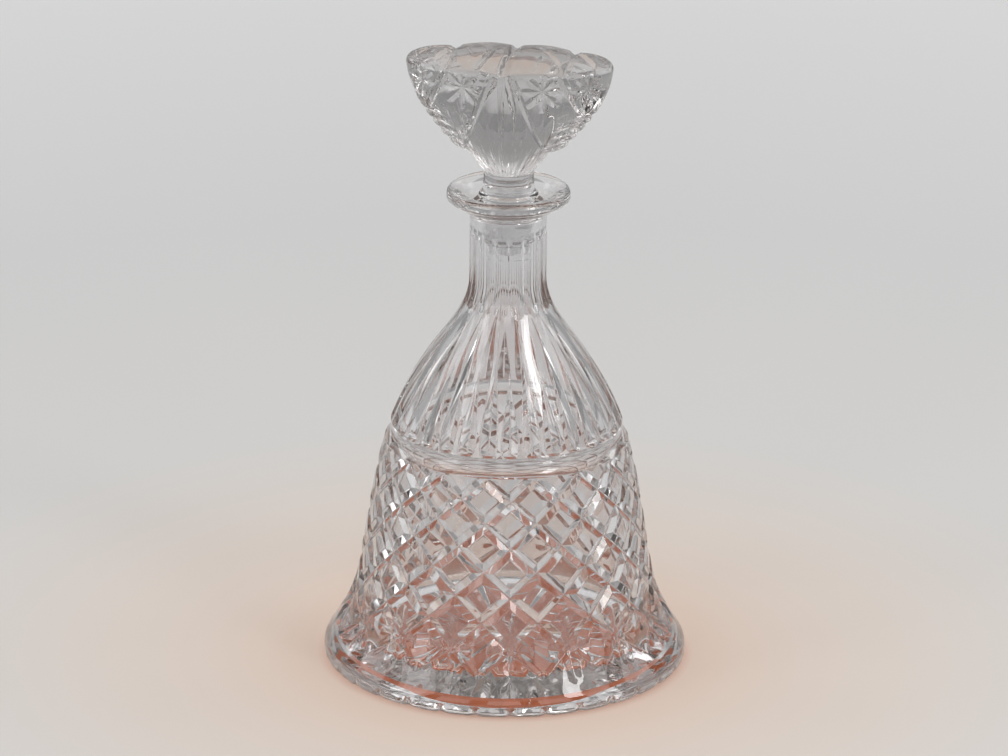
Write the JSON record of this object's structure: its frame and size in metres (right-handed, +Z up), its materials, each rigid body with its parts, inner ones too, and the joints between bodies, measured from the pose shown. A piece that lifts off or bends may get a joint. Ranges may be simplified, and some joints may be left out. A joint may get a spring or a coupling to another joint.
{
  "type": "ships decanter",
  "caption": "Bell-shaped cut-glass decanter with a wide flared foot, panelled neck, dished collar lip and a solid fan-shaped stopper that lifts out and turns in a clear sleeve.",
  "frame": {"origin": "middle of the sole, on the axis of the bottle", "axes": "+Z up along the axis of the bottle, from the foot to the stopper; -Y faces the viewer of the picture"},
  "size_m": [0.15, 0.15, 0.26],
  "materials": {
    "cut_crystal": "clear crystal, cut and polished",
    "clear_plastic": "clear, moulded"
  },
  "bodies": {
    "bottle": {"decanter": "cut_crystal"},
    "sleeve": {"stopper_sleeve": "clear_plastic"},
    "stopper": {"stopper": "cut_crystal"}
  },
  "joints": [
    {"name": "lift", "type": "slide", "parent": "bottle", "child": "sleeve", "axis": [0, 0, 1], "range_m": [0, 0.06]},
    {"name": "twist", "type": "hinge", "parent": "sleeve", "child": "stopper", "pos_m": [0, 0, 0.2062], "axis": [0, 0, 1], "continuous": true}
  ]
}
